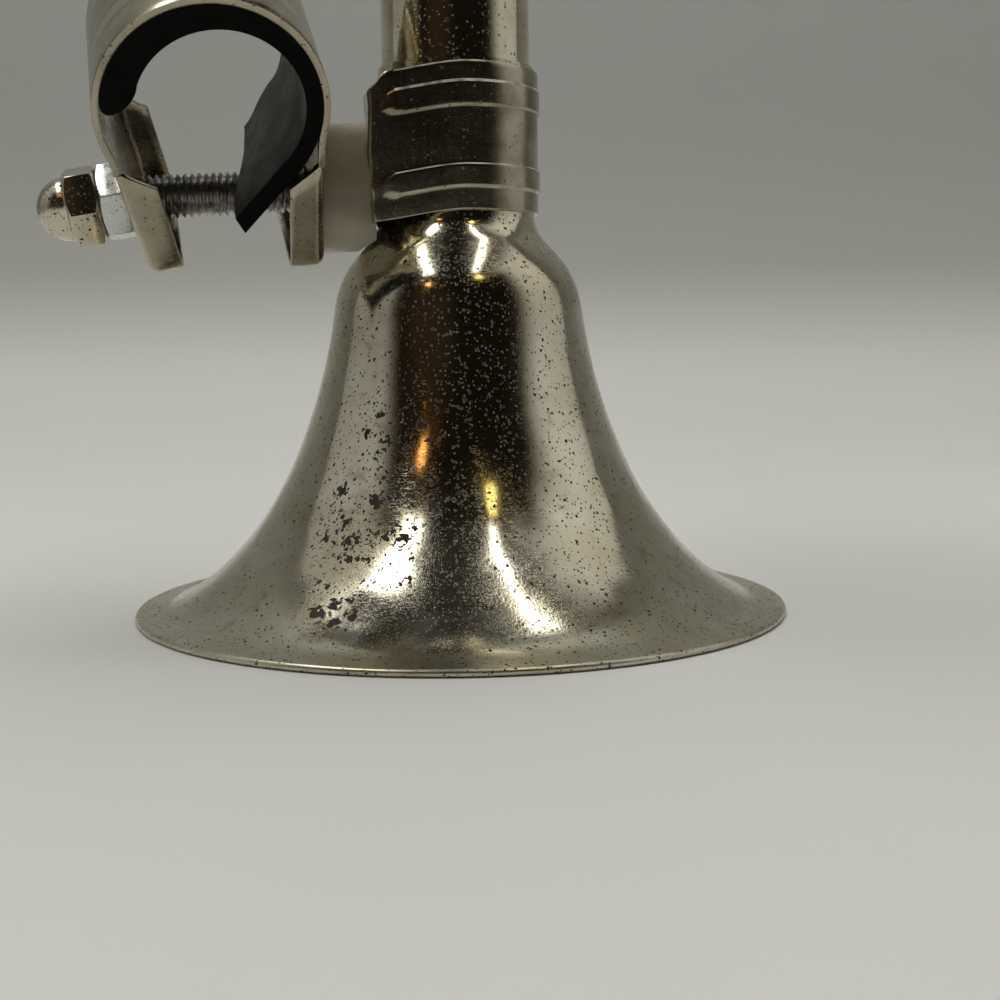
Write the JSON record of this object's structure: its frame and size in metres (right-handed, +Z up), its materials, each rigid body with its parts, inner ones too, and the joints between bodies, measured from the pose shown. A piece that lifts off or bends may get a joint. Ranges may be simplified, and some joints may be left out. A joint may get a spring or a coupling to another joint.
{
  "type": "bicycle horn",
  "caption": "Bulb horn for a bicycle with a flared bell, a squeeze bulb, a reed and a strap clamp for a handlebar.",
  "frame": {"origin": "centre of the bell's mouth on the plane that the rim stands on", "axes": "+Z up the horn from the mouth to the bulb, -X towards the handlebar clamp, -Y towards the viewer of the picture"},
  "size_m": [0.0874, 0.0784, 0.176],
  "materials": {
    "nickel": "nickel-plated steel, pitted and rusted",
    "satin_nickel": "satin nickel-plated steel, brown with age",
    "zinc": "bright zinc-plated steel",
    "dark_steel": "dark oiled steel thread",
    "nylon": "ivory nylon, slightly translucent",
    "black_rubber": "black moulded rubber",
    "brass": "plain brass"
  },
  "bodies": {
    "horn": {"bell": "nickel", "sound_tube": "nickel", "neck_collar": "satin_nickel", "spacer": "nylon", "reed_block": "brass", "reed_shallot": "brass", "reed_wedge": "brass"},
    "handlebar_clamp": {"clamp_screw": "dark_steel", "clamp_strap": "satin_nickel", "clamp_liner": "black_rubber", "hex_nut": "zinc", "dome_nut": "nickel"},
    "reed": {"reed_tongue": "brass"},
    "bulb": {"bulb": "black_rubber"}
  },
  "joints": [
    {"name": "clamp_swivel", "type": "hinge", "parent": "horn", "child": "handlebar_clamp", "pos_m": [0, 0, 0.0512], "axis": [0.9981, 0, 0.061], "range_deg": [-160, 90]},
    {"name": "bulb_squeeze", "type": "slide", "parent": "horn", "child": "bulb", "axis": [0, 0, -1], "range_m": [0, 0.018], "stiffness_N_per_m": 1000, "springref_m": -0.002, "deforming": ["bulb"]},
    {"name": "reed_flex", "type": "hinge", "parent": "horn", "child": "reed", "pos_m": [0, -0.0004, 0.1136], "axis": [-1, 0, 0], "range_deg": [-2, 1.8], "stiffness_Nm_per_rad": 0.02}
  ]
}
